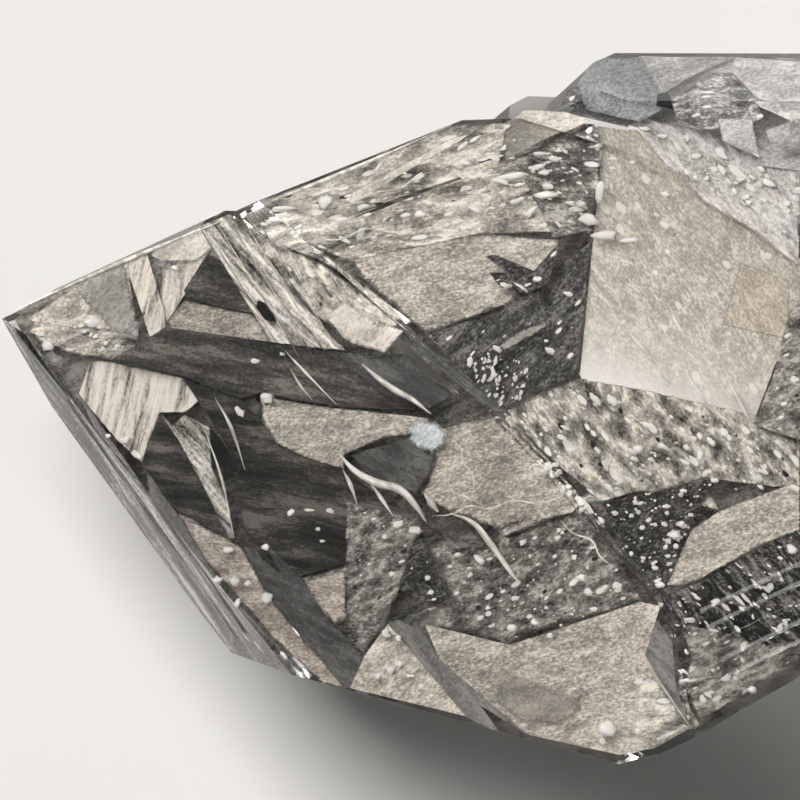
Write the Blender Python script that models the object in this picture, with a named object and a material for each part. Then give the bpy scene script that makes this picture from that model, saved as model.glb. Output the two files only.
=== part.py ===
"""Herkimer diamond: a doubly terminated quartz crystal with a smaller one grown on its flank.

The long axis of the large crystal runs along X, +Z is up, and the crystal lies on a flat face
at z = 0. It is one solid: blocks cut to crystal faces and joined, then stepped and chipped.
"""
import math

import bmesh
import bpy
from mathutils import Matrix, Vector

MM = 0.001

# Plan of the large crystal in millimetres: its left tip is at (0, 0), its right tip at LENGTH.
LENGTH = 48.0
LEFT_TIP = Vector((0.0, 0.0))
TIP_BEVEL = Vector((3.0, -3.25))
LEFT_FOOT = Vector((14.25, -12.75))
RIGHT_FOOT = Vector((32.6, -12.6))
RIGHT_HEEL = Vector((33.8, -11.9))
RIGHT_TIP = Vector((LENGTH, 1.2))
RIGHT_SHOULDER = Vector((34.6, 14.0))
LEFT_SHOULDER = Vector((20.6, 14.6))
LEFT_NECK = Vector((17.9, 13.75))

# Upper faces: a point each one passes through, and its rise per millimetre along X and Y.
CREST = Vector((23.1, 1.4, 22.0))
GLOSSY_CORNER = Vector((26.4, 3.7))
RIGHT_CORNER = Vector((32.6, -5.0))
BROAD_SLOPE = (0.36, 0.36)
MIDDLE_SLOPE = (-0.212, -0.46)
BACK_SLOPE = (-0.121, -0.591)
GLOSSY_SLOPE = (-0.212, -0.605)
RIGHT_SLOPE = (-0.534, -0.088)
RIM_SLOPE = (1.85, 2.37)

# Side faces: the height of the outer edge, the waist where the face turns under, the steepness
# of the undercut and how far it is turned from the side face. A side leans in below its edge.
SIDE_LEAN = 2.5
SIDES = {
    "tip_bevel": (11.0, 9.0, 47.0, 9.0),
    "lower_left": (10.0, 8.2, 46.0, -6.0),
    "front": (17.5, 4.5, 26.0, 3.0),
    "heel": (20.0, 12.0, 52.0, 0.0),
    "lower_right": (18.5, 10.4, 46.0, 5.0),
    "upper_right": (13.0, 8.0, 42.0, -8.0),
    "back": (14.0, 7.6, 38.0, -4.0),
    "neck": (15.0, 9.0, 58.0, 0.0),
    "upper_left": (17.5, 9.2, 33.0, 7.0),
}

# Small crystal on the back edge: a sixfold prism with a point at each end.
END_FACE_ANGLE = 51.8
SMALL_CENTRE = Vector((29.9, 15.0, 8.9))
SMALL_LENGTH = 22.4
SMALL_RADIUS = 4.35
SMALL_TURN = 14.5
SMALL_TILT = -7.0
SMALL_ROLL = -3.0

# A parallel overgrowth that steps the back edge up beside the small crystal.
STEP_CENTRE = Vector((23.9, 11.8, 9.4))
STEP_LENGTH = 16.0
STEP_RADIUS = 4.0
STEP_TURN = 13.0
STEP_TILT = 0.0
STEP_ROLL = 10.0

# The ridge of the broad face is a narrow flat, worn this far below the sharp edge.
RIDGE_WEAR = 0.09

# The side face next to the left tip stands proud as a thin growth layer, up to its far end.
LAYER_END = Vector((8.85, 7.13))
LAYER_HEEL = Vector((9.6, 7.3))
LAYER_DEPTH = 1.2
LAYER_BOTTOM = 9.6

# Growth striations, one row each: the face they lie on, the plan of the first groove's ends,
# the plan distance to the next groove, how many there are, their width and their depth.
STRIATIONS = (
    ("rim", (3.9, -3.0), (14.2, -11.7), (0.33, 0.39), 3, 0.62, 0.10),
    ("broad", (8.3, 6.1), (13.6, 1.0), (0.42, 0.36), 5, 0.26, 0.09),
    ("right", (36.2, -7.6), (43.4, -1.6), (-0.50, 0.62), 5, 0.16, 0.05),
    ("small", (32.6, 18.6), (33.9, 13.6), (0.95, 0.24), 6, 0.26, 0.07),
)

# Chips broken out of edges: plan, height above the face below them, and radius.
CHIPS = (
    ("middle", (26.95, 12.9), 0.05, 0.42),
    ("middle", (26.6, 10.6), 0.02, 0.34),
    ("middle", (26.75, 9.2), 0.00, 0.48),
    ("middle", (26.4, 3.9), 0.10, 0.30),
    ("broad", (29.6, -1.9), 0.05, 0.34),
    ("broad", (19.3, 3.6), 0.05, 0.22),
    ("broad", (32.9, -12.2), 0.00, 0.50),
)

# Ledges where the small crystal meets the large one: plan, length, width, turn and tilt.
LEDGE_HEIGHT = 12.95
LEDGE_THICKNESS = 0.9
LEDGES = (
    ((27.6, 15.3), 2.6, 0.8, -8.0, 4.0),
    ((29.3, 14.3), 2.0, 1.1, 22.0, -5.0),
    ((31.2, 14.0), 2.4, 0.7, -18.0, 3.0),
    ((33.0, 12.9), 1.7, 1.2, 12.0, -6.0),
    ((34.9, 12.9), 2.1, 0.9, -24.0, 5.0),
)


def cut(bm, point, normal):
    """Cut the solid along a plane, drop what lies outside it and close the new face."""
    everything = bm.verts[:] + bm.edges[:] + bm.faces[:]
    result = bmesh.ops.bisect_plane(bm, geom=everything, dist=1e-6, plane_co=point,
                                    plane_no=normal, clear_outer=True)
    rim = [item for item in result["geom_cut"] if isinstance(item, bmesh.types.BMEdge)]
    if rim:
        bmesh.ops.edgeloop_fill(bm, edges=rim)


def height_on(anchor, slope, spot):
    """Height of a sloping face over a spot of the plan."""
    return anchor.z + slope[0] * (spot.x - anchor.x) + slope[1] * (spot.y - anchor.y)


def cut_side(bm, name, start, end):
    """Cut a side face from start to end, with the crystal on the left, and its undercut."""
    edge_height, waist, steepness, twist = SIDES[name]
    along = (end - start).normalized()
    out = Vector((along.y, -along.x, 0.0))
    lean = math.radians(SIDE_LEAN)
    wall = out * math.cos(lean) - Vector((0, 0, math.sin(lean)))
    cut(bm, Vector((start.x, start.y, edge_height)), wall)
    steep = math.radians(steepness)
    facing = Matrix.Rotation(math.radians(twist), 3, "Z") @ out
    middle = (start + end) / 2
    cut(bm, Vector((middle.x, middle.y, waist)),
        facing * math.sin(steep) - Vector((0, 0, math.cos(steep))))


def lifted(spot, slope):
    """A spot of the plan, lifted to a face that passes through the crest."""
    return Vector((spot.x, spot.y, height_on(CREST, slope, spot)))


UPPER_FACES = {
    "broad": (CREST, BROAD_SLOPE),
    "middle": (CREST, MIDDLE_SLOPE),
    "back": (CREST, BACK_SLOPE),
    "glossy": (lifted(GLOSSY_CORNER, MIDDLE_SLOPE), GLOSSY_SLOPE),
    "right": (lifted(RIGHT_CORNER, BROAD_SLOPE), RIGHT_SLOPE),
    "rim": (lifted(LEFT_TIP, BROAD_SLOPE), RIM_SLOPE),
}


def upward(slope):
    """Unit normal of a sloping face."""
    return Vector((-slope[0], -slope[1], 1.0)).normalized()


def large_crystal():
    bm = bmesh.new()
    bmesh.ops.create_cube(bm, size=3 * LENGTH)
    cut(bm, Vector((0, 0, 0)), Vector((0, 0, -1)))
    for anchor, slope in UPPER_FACES.values():
        cut(bm, anchor, upward(slope))
    cut(bm, CREST - Vector((0, 0, RIDGE_WEAR)), upward(BROAD_SLOPE) + upward(MIDDLE_SLOPE))
    corners = (LEFT_TIP, TIP_BEVEL, LEFT_FOOT, RIGHT_FOOT, RIGHT_HEEL, RIGHT_TIP,
               RIGHT_SHOULDER, LEFT_SHOULDER, LEFT_NECK, LEFT_TIP)
    for name, start, end in zip(SIDES, corners, corners[1:]):
        cut_side(bm, name, start, end)
    return bm


def turned(turn, tilt, roll):
    """Rotation of a crystal by its turn in the plan, its tilt and its roll, in degrees."""
    return (Matrix.Rotation(math.radians(turn), 3, "Z")
            @ Matrix.Rotation(math.radians(-tilt), 3, "Y")
            @ Matrix.Rotation(math.radians(roll), 3, "X"))


def prism_crystal(centre, length, radius, turn, tilt, roll):
    """A sixfold prism with six end faces at each point, placed by its centre and its axis."""
    bm = bmesh.new()
    bmesh.ops.create_cube(bm, size=3 * length)
    lean = math.radians(END_FACE_ANGLE)
    reach = length / 2 * math.cos(lean)
    for side in range(6):
        angle = math.radians(60 * side)
        outward = Vector((0, math.sin(angle), math.cos(angle)))
        cut(bm, outward * radius, outward)
        for end in (-1, 1):
            face = outward * math.sin(lean) + Vector((end * math.cos(lean), 0, 0))
            shift = 1.0 - 0.10 * ((side + end) % 2)
            cut(bm, face * reach * shift, face)
    place = Matrix.Translation(centre) @ turned(turn, tilt, roll).to_4x4()
    bmesh.ops.transform(bm, matrix=place, verts=bm.verts)
    return bm


def growth_layer():
    """The thin layer on the side face beside the left tip."""
    bm = bmesh.new()
    bmesh.ops.create_cube(bm, size=LENGTH)
    out = Vector((-LAYER_END.y, LAYER_END.x, 0.0)).normalized()
    across = (LAYER_HEEL - LAYER_END).to_3d()
    cut(bm, CREST, upward(BROAD_SLOPE))
    cut(bm, LEFT_TIP.to_3d() + 0.02 * out, out)
    cut(bm, LEFT_TIP.to_3d() - LAYER_DEPTH * out, -out)
    cut(bm, LAYER_END.to_3d(), Vector((-across.y, across.x, 0.0)))
    cut(bm, LAYER_HEEL.to_3d(), Vector((out.y, -out.x, 0.0)))
    cut(bm, Vector((0, 0, LAYER_BOTTOM)), 0.7 * out - Vector((0, 0, 1)))
    cut(bm, Vector((1.4, 0, 0)), Vector((-1, 0.4, 0)))
    return bm


def groove(bm, start, end, normal, width, depth):
    """Add a three-sided cutter that runs from start to end on a face, one edge pointing in."""
    along = end - start
    side = normal.cross(along).normalized()
    frame = Matrix((-normal * depth, side * width * 0.866, along.normalized())).transposed()
    place = Matrix.Translation((start + end) / 2) @ frame.to_4x4()
    bmesh.ops.create_cone(bm, cap_ends=True, segments=3, radius1=1.0, radius2=1.0,
                          depth=along.length, matrix=place)


def striations():
    bm = bmesh.new()
    top = turned(SMALL_TURN, SMALL_TILT, SMALL_ROLL) @ Vector((0, 0, 1))
    small_slope = (-top.x / top.z, -top.y / top.z)
    faces = dict(UPPER_FACES, small=(SMALL_CENTRE + top * SMALL_RADIUS, small_slope))
    for face, first, last, gap, count, width, depth in STRIATIONS:
        anchor, slope = faces[face]
        for index in range(count):
            ends = []
            for spot in (first, last):
                plan = Vector(spot) + Vector(gap) * index
                ends.append(Vector((plan.x, plan.y, height_on(anchor, slope, plan))))
            groove(bm, ends[0], ends[1], upward(slope), width, depth)
    return bm


def chips():
    bm = bmesh.new()
    for index, (face, spot, rise, radius) in enumerate(CHIPS):
        anchor, slope = UPPER_FACES[face]
        plan = Vector(spot)
        centre = Vector((plan.x, plan.y, height_on(anchor, slope, plan) + rise))
        turn = Matrix.Rotation(0.9 * index, 4, "X") @ Matrix.Rotation(1.7 * index, 4, "Z")
        bmesh.ops.create_icosphere(bm, subdivisions=1, radius=radius,
                                   matrix=Matrix.Translation(centre) @ turn)
    return bm


def ledge(spot, length, width, turn, tilt):
    bm = bmesh.new()
    place = (Matrix.Translation((spot[0], spot[1], LEDGE_HEIGHT))
             @ Matrix.Rotation(math.radians(turn), 4, "Z")
             @ Matrix.Rotation(math.radians(tilt), 4, "X")
             @ Matrix.Diagonal((length, width, LEDGE_THICKNESS, 1.0)))
    bmesh.ops.create_cube(bm, size=1.0, matrix=place)
    return bm


def add_object(bm, name, collection):
    """Scale a millimetre mesh to metres and put it in the scene."""
    bmesh.ops.recalc_face_normals(bm, faces=bm.faces[:])
    bmesh.ops.scale(bm, vec=(MM, MM, MM), verts=bm.verts)
    mesh = bpy.data.meshes.new(name)
    bm.to_mesh(mesh)
    bm.free()
    thing = bpy.data.objects.new(name, mesh)
    collection.objects.link(thing)
    return thing


def boolean(target, tool, operation):
    modifier = target.modifiers.new(tool.name, "BOOLEAN")
    modifier.operation = operation
    modifier.solver = "EXACT"
    modifier.object = tool
    tool.hide_render = True
    tool.display_type = "WIRE"


for old in list(bpy.data.objects):
    bpy.data.objects.remove(old, do_unlink=True)

parts = bpy.data.collections.new("herkimer_diamond")
cutters = bpy.data.collections.new("cutters")
bpy.context.scene.collection.children.link(parts)
bpy.context.scene.collection.children.link(cutters)

crystal = add_object(large_crystal(), "crystal", parts)
small = add_object(prism_crystal(SMALL_CENTRE, SMALL_LENGTH, SMALL_RADIUS, SMALL_TURN,
                                 SMALL_TILT, SMALL_ROLL), "small_crystal", cutters)
step = add_object(prism_crystal(STEP_CENTRE, STEP_LENGTH, STEP_RADIUS, STEP_TURN,
                                STEP_TILT, STEP_ROLL), "back_step", cutters)
layer = add_object(growth_layer(), "side_layer", cutters)
contacts = [add_object(ledge(*row), f"contact_ledge_{number}", cutters)
            for number, row in enumerate(LEDGES, 1)]
striae = add_object(striations(), "striation_grooves", cutters)
chipped = add_object(chips(), "edge_chips", cutters)
for tool in [layer, small, step] + contacts:
    boolean(crystal, tool, "UNION")
for tool in (striae, chipped):
    boolean(crystal, tool, "DIFFERENCE")

# The origin is under the middle of the finished solid, on the plane it rests on.
bpy.context.view_layer.update()
finished = crystal.evaluated_get(bpy.context.evaluated_depsgraph_get())
low = [min(corner[axis] for corner in finished.bound_box) for axis in range(3)]
high = [max(corner[axis] for corner in finished.bound_box) for axis in range(3)]
offset = Vector(((low[0] + high[0]) / 2, (low[1] + high[1]) / 2, 0.0))
for thing in [crystal, small, step, layer, striae, chipped] + contacts:
    thing.location = -offset

quartz = bpy.data.materials.new("clear_quartz")
quartz.use_nodes = True
surface = quartz.node_tree.nodes["Principled BSDF"]
surface.inputs["Base Color"].default_value = (0.80, 0.78, 0.75, 1.0)
surface.inputs["Roughness"].default_value = 0.08
surface.inputs["Metallic"].default_value = 0.0
surface.inputs["IOR"].default_value = 1.544
surface.inputs["Transmission Weight"].default_value = 1.0
crystal.data.materials.append(quartz)
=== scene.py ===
"""Looks of the herkimer diamond: clear faceted quartz with smoky films, veils and bubbles."""

import math
import random

import bmesh
import bpy
from mathutils import Matrix, Vector, noise


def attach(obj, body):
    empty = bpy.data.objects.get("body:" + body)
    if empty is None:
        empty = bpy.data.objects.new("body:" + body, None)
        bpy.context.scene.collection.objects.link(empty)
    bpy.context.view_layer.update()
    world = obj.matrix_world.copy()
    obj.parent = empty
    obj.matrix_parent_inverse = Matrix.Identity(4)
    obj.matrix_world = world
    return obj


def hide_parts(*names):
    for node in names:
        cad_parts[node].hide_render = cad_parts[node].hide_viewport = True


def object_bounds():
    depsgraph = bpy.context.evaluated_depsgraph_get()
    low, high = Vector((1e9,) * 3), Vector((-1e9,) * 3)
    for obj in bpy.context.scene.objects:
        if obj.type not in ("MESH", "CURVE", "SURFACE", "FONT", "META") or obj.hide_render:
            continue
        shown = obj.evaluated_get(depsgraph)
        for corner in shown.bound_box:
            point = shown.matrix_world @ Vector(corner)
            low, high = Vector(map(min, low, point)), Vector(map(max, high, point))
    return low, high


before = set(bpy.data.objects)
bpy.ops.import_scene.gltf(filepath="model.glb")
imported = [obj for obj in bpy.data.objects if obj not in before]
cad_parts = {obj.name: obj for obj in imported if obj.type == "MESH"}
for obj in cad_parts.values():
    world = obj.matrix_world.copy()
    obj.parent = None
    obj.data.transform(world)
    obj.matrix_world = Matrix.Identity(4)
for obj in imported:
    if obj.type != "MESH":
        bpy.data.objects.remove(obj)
cad_low, cad_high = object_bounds()

MM = 0.001

# --- Camera ---------------------------------------------------------------------------------
# It looks straight down, turned so that the crystal's long axis falls away to the right, and
# close enough for the right end to leave the frame.
FRAME_PIXELS = 800
PIXEL = 0.0456 * MM
VIEW_TURN = math.radians(14.5)
VIEW_CENTRE = Vector((18.58 * MM, 13.50 * MM))
CAMERA_HEIGHT = 0.75
CLIP_START, CLIP_END = 0.01, 20.0
FOCUS_LEVEL = 16.0 * MM
SENSOR = 36.0

image_right = Vector((math.cos(VIEW_TURN), math.sin(VIEW_TURN), 0.0))
image_up = Vector((-math.sin(VIEW_TURN), math.cos(VIEW_TURN), 0.0))
view_point = Vector((cad_low.x + VIEW_CENTRE.x, cad_low.y + VIEW_CENTRE.y, FOCUS_LEVEL))

camera_data = bpy.data.cameras.new("camera")
camera_data.sensor_width = SENSOR
camera_data.lens = SENSOR * CAMERA_HEIGHT / (FRAME_PIXELS * PIXEL)
camera_data.clip_start = CLIP_START
camera_data.clip_end = CLIP_END
camera = bpy.data.objects.new("camera", camera_data)
turn = Matrix((image_right, image_up, Vector((0, 0, 1)))).transposed().to_4x4()
camera.matrix_world = Matrix.Translation(view_point + Vector((0, 0, CAMERA_HEIGHT))) @ turn
bpy.context.scene.collection.objects.link(camera)
bpy.context.scene.camera = camera

# --- Light and render feel ------------------------------------------------------------------
# Soft studio lamps over a dim room, so that inner faces turn dark where they mirror the room.
ROOM_GREY = 0.045


def soft_lamp(name, direction, distance, size, power, colour):
    """A square lamp in a direction from the crystal, facing it."""
    away = Vector(direction).normalized()
    data = bpy.data.lights.new(name, "AREA")
    data.size = size
    data.energy = power
    data.color = colour
    lamp = bpy.data.objects.new(name, data)
    lamp.location = view_point + away * distance
    lamp.rotation_euler = away.to_track_quat("Z", "Y").to_euler()
    bpy.context.scene.collection.objects.link(lamp)


soft_lamp("overhead_lamp", direction=(-0.58, 0.46, 1.0), distance=0.90, size=0.50, power=20.5,
          colour=(1.0, 0.985, 0.965))
soft_lamp("side_lamp", direction=(0.9, -0.3, 0.45), distance=0.60, size=0.25, power=0.7,
          colour=(1.0, 0.985, 0.96))

world = bpy.data.worlds.new("dim_room")
world.use_nodes = True
world.node_tree.nodes["Background"].inputs["Color"].default_value = (ROOM_GREY,) * 3 + (1.0,)
bpy.context.scene.world = world
scene = bpy.context.scene
scene.view_settings.view_transform = "Standard"
scene.cycles.use_denoising = True
scene.cycles.max_bounces = 14
scene.cycles.transmission_bounces = 12
scene.cycles.transparent_max_bounces = 14
scene.cycles.glossy_bounces = 6
scene.cycles.diffuse_bounces = 3


# --- Quartz body ----------------------------------------------------------------------------
# One clear crystal grown together with the smaller one on its back edge. Its long edges are
# worn a hair, and its faces carry the faint relief of growth.
EDGE_WEAR = 0.025 * MM
LONG_EDGE = 1.6 * MM
SHARP_EDGE = math.radians(14.0)
WELD_DISTANCE = 1e-6
FLAT_ANGLE = math.radians(0.6)
QUARTZ_IOR = 1.544
QUARTZ_TINT = (0.985, 0.98, 0.97, 1.0)


def node(tree, kind, **values):
    """A shader node with its inputs, or its own properties, set by name."""
    made = tree.nodes.new(kind)
    for key, value in values.items():
        label = key.replace("_", " ")
        if label in made.inputs:
            made.inputs[label].default_value = value
        else:
            setattr(made, key, value)
    return made


def new_material(name):
    """A material with its node tree and its shader."""
    material = bpy.data.materials.new(name)
    material.use_nodes = True
    tree = material.node_tree
    return material, tree, tree.nodes["Principled BSDF"]


def stretched(tree, direction, ratio, upright=1.0):
    """Object coordinates squeezed so that a texture runs in streaks along a plan direction."""
    coordinate = tree.nodes.new("ShaderNodeTexCoord")
    mapping = node(tree, "ShaderNodeMapping", vector_type="TEXTURE")
    mapping.inputs["Rotation"].default_value = (0.0, 0.0, math.radians(direction))
    mapping.inputs["Scale"].default_value = (ratio, 1.0, upright)
    tree.links.new(coordinate.outputs["Object"], mapping.inputs["Vector"])
    return mapping.outputs["Vector"]


def texture(tree, vector, kind, **values):
    """A texture node read at a vector."""
    made = node(tree, kind, **values)
    tree.links.new(vector, made.inputs["Vector"])
    return made


def add_mesh(bm, name, material):
    """Put a bmesh in the scene as an object that belongs to the crystal."""
    mesh = bpy.data.meshes.new(name)
    bm.to_mesh(mesh)
    bm.free()
    mesh.materials.append(material)
    made = bpy.data.objects.new(name, mesh)
    bpy.context.scene.collection.objects.link(made)
    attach(made, "root")
    return made


quartz, tree, shader = new_material("clear_quartz_body")
shader.inputs["Base Color"].default_value = QUARTZ_TINT
shader.inputs["Roughness"].default_value = 0.0
shader.inputs["IOR"].default_value = QUARTZ_IOR
shader.inputs["Transmission Weight"].default_value = 1.0
streaks = texture(tree, stretched(tree, direction=-38.0, ratio=9.0), "ShaderNodeTexNoise",
                  Scale=1500.0, Detail=5.0)
hills = texture(tree, stretched(tree, direction=20.0, ratio=2.0), "ShaderNodeTexNoise",
                Scale=420.0, Detail=2.0)
fine_relief = node(tree, "ShaderNodeBump", Strength=0.25, Distance=0.00002)
broad_relief = node(tree, "ShaderNodeBump", Strength=0.30, Distance=0.00008)
tree.links.new(streaks.outputs["Fac"], fine_relief.inputs["Height"])
tree.links.new(hills.outputs["Fac"], broad_relief.inputs["Height"])
tree.links.new(fine_relief.outputs["Normal"], broad_relief.inputs["Normal"])
tree.links.new(broad_relief.outputs["Normal"], shader.inputs["Normal"])

body_bm = bmesh.new()
body_bm.from_mesh(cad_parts["crystal"].data)
bmesh.ops.remove_doubles(body_bm, verts=body_bm.verts, dist=WELD_DISTANCE)
bmesh.ops.dissolve_limit(body_bm, angle_limit=FLAT_ANGLE, verts=body_bm.verts,
                         edges=body_bm.edges)
worn = [edge for edge in body_bm.edges
        if edge.calc_length() > LONG_EDGE and edge.calc_face_angle(0.0) > SHARP_EDGE]
bmesh.ops.bevel(body_bm, geom=worn, offset=EDGE_WEAR, offset_type="OFFSET", segments=2,
                profile=0.5, affect="EDGES", clamp_overlap=True, material=-1)
body = add_mesh(body_bm, "quartz_body", quartz)
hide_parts("crystal")

# --- Deep veils -----------------------------------------------------------------------------
# Broken, cloudy sheets deep in the crystal that show between the films above them. Every
# inclusion lies where a line of sight through a pixel of the frame enters the quartz and bends:
# outlines are in pixels, x to the right and y down, and depths in millimetres along that line.
# A face is a point in millimetres from the left tip and its rise along X and Y, as on the solid.
TIP = Vector((cad_low.x - 0.07 * MM, cad_low.y + 12.72 * MM))
CREST = Vector((23.1, 1.4, 22.0))
FACES = {
    "broad": (CREST, (0.36, 0.36)),
    "middle": (CREST, (-0.212, -0.46)),
    "back": (CREST, (-0.121, -0.591)),
    "glossy": (Vector((26.4, 3.7, 20.24)), (-0.212, -0.605)),
    "right": (Vector((32.6, -5.0, 23.12)), (-0.534, -0.088)),
    "rim": (Vector((0.0, 0.0, 13.18)), (1.85, 2.37)),
}
SMALL_CENTRE = Vector((29.9, 15.0, 8.9))
SMALL_RADIUS = 4.35
SMALL_HALF_LENGTH = 11.2
SMALL_TURN = 14.5
SMALL_TILT = -7.0
SMALL_ROLL = -3.0
END_FACE_ANGLE = 51.8
END_FACE_UNEVEN = 0.10
LEAST_DEPTH = 0.15


def small_faces():
    """The upper faces of the small crystal's prism and of its left point, as on the solid."""
    turned = (Matrix.Rotation(math.radians(SMALL_TURN), 3, "Z")
              @ Matrix.Rotation(math.radians(-SMALL_TILT), 3, "Y")
              @ Matrix.Rotation(math.radians(SMALL_ROLL), 3, "X"))
    lean = math.radians(END_FACE_ANGLE)
    faces = []
    for side in (0, 1):
        angle = math.radians(60.0 * side)
        outward = Vector((0.0, math.sin(angle), math.cos(angle)))
        point = outward * math.sin(lean) - Vector((math.cos(lean), 0.0, 0.0))
        reach = SMALL_HALF_LENGTH * math.cos(lean) * (1.0 - END_FACE_UNEVEN * ((side - 1) % 2))
        for normal, distance in ((outward, SMALL_RADIUS), (point, reach)):
            facing = turned @ normal
            faces.append((SMALL_CENTRE + facing * distance,
                          (-facing.x / facing.z, -facing.y / facing.z)))
    return faces


SMALL_FACES = small_faces()


def bent_ray(ray, slope):
    """Direction of a ray after it enters the quartz through a face."""
    normal = Vector((-slope[0], -slope[1], 1.0)).normalized()
    cosine = -ray.dot(normal)
    share = 1.0 / QUARTZ_IOR
    inner = math.sqrt(1.0 - share * share * (1.0 - cosine * cosine))
    return share * ray + (share * cosine - inner) * normal


def placed(pixel, depth, small=False):
    """The point seen at a pixel, at a depth inside the large or the small crystal."""
    across = (pixel[0] - FRAME_PIXELS / 2) * PIXEL
    upward = (FRAME_PIXELS / 2 - pixel[1]) * PIXEL
    ray = (image_right * across + image_up * upward
           - Vector((0, 0, CAMERA_HEIGHT))).normalized()
    eye = (camera.location - Vector((TIP.x, TIP.y, 0.0))) / MM
    hits = []
    for anchor, slope in SMALL_FACES if small else FACES.values():
        rise = Vector((-slope[0], -slope[1], 1.0))
        hits.append(((anchor - eye).dot(rise) / ray.dot(rise), slope))
    reach, slope = max(hits, key=lambda hit: hit[0])
    inside = eye + ray * reach + bent_ray(ray, slope) * depth
    return Vector((TIP.x, TIP.y, 0.0)) + inside * MM


def film(name, material, depth, outline, dip=(0.0, 0.0), small=False, soft=0.0):
    """A flat film inside the crystal. dip deepens it, in millimetres per 100 pixels across.

    soft is the width in pixels over which its edge wears away.
    """
    middle = (sum(x for x, y in outline) / len(outline), sum(y for x, y in outline) / len(outline))
    bm = bmesh.new()
    cover = bm.verts.layers.float.new("cover")
    corners = []
    for x, y in outline:
        deeper = dip[0] * (x - middle[0]) / 100 + dip[1] * (y - middle[1]) / 100
        corners.append(bm.verts.new(placed((x, y), max(LEAST_DEPTH, depth + deeper), small)))
    bmesh.ops.contextual_create(bm, geom=corners)
    bm.normal_update()
    if soft:
        bmesh.ops.inset_individual(bm, faces=bm.faces[:], thickness=soft * PIXEL)
    for vert in bm.verts:
        vert[cover] = 0.0 if soft and vert.is_boundary else 1.0
    bmesh.ops.triangulate(bm, faces=bm.faces[:])
    return add_mesh(bm, name, material)


# A film's markings are crumpled cloud in three tones: soft patches, creases lightened as painted
# highlights on the crumpled relief, and grit, each brought to one spread before they are mixed,
# with flecks and pits on top.
EVEN_SPREAD = 0.12
CLOUD_NOISE = (0.5, 0.055)
WIDE_NOISE = (0.5, 0.07)
CREASE_NOISE = (1.08, 0.42)
GRIT_NOISE = (0.5, 0.08)
WARP_GRAIN = 420.0
WARP_REACH = 0.9 * MM
WIDE_GRAIN = 200.0
WIDE_RATIO = 1.4
WIDE_SHARE = 0.25
CREASE_GRAIN = 0.9
GRIT_GRAIN = 9000.0
GRIT_RATIO = 1.6
UPRIGHT = 6.0
PIT_TONE = (0.02, 0.02, 0.02)
PIT_GRAIN = 1.3
SPOT_EDGE = 0.10
FILM_ROUGHNESS = 0.55
FILM_GLOSS = 0.2
RAGGED = 1.2
EDGE_START = 0.10
EDGE_FADE = 0.60
THIN_GRAIN = 0.4
THIN_RATIO = 1.5
THIN_ALPHA = 0.15
THIN_EDGE = 0.12
THIN_REACH = 0.28


def ramp(tree, source, stops):
    """A colour ramp on a value; stops are (position, colour or grey)."""
    made = tree.nodes.new("ShaderNodeValToRGB")
    while len(made.color_ramp.elements) < len(stops):
        made.color_ramp.elements.new(0.5)
    for element, (position, colour) in zip(made.color_ramp.elements, stops):
        element.position = position
        element.color = (colour,) * 3 + (1.0,) if isinstance(colour, float) else (*colour, 1.0)
    tree.links.new(source, made.inputs["Fac"])
    return made.outputs["Color"]


def evened(tree, value, noise_range):
    """A noise value, given its usual centre and width, brought to one half and EVEN_SPREAD."""
    centre, width = noise_range
    made = node(tree, "ShaderNodeMath", operation="MULTIPLY_ADD")
    made.inputs[1].default_value = EVEN_SPREAD / width
    made.inputs[2].default_value = 0.5 - EVEN_SPREAD * centre / width
    tree.links.new(value, made.inputs[0])
    return made.outputs["Value"]


def mixed(tree, first, second, share):
    """A share of the second value mixed into the first."""
    blend = node(tree, "ShaderNodeMix", data_type="FLOAT")
    blend.inputs["Factor"].default_value = share
    tree.links.new(first, blend.inputs["A"])
    tree.links.new(second, blend.inputs["B"])
    return blend.outputs["Result"]


def painted(tree, colour, tone, share):
    """A colour turned to a tone where a value is high."""
    mix = node(tree, "ShaderNodeMix", data_type="RGBA")
    mix.inputs["B"].default_value = (*tone, 1.0)
    tree.links.new(share, mix.inputs["Factor"])
    tree.links.new(colour, mix.inputs["A"])
    return mix.outputs["Result"]


def warped(tree, vector):
    """Coordinates bent by a slow noise, so that streaks curve."""
    slow = texture(tree, vector, "ShaderNodeTexNoise", Scale=WARP_GRAIN, Detail=2.0)
    centred = node(tree, "ShaderNodeVectorMath", operation="SUBTRACT")
    centred.inputs[1].default_value = (0.5, 0.5, 0.5)
    tree.links.new(slow.outputs["Color"], centred.inputs[0])
    bent = node(tree, "ShaderNodeVectorMath", operation="MULTIPLY_ADD")
    bent.inputs[1].default_value = (WARP_REACH,) * 3
    tree.links.new(centred.outputs["Vector"], bent.inputs[0])
    tree.links.new(vector, bent.inputs[2])
    return bent.outputs["Vector"]


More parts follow.
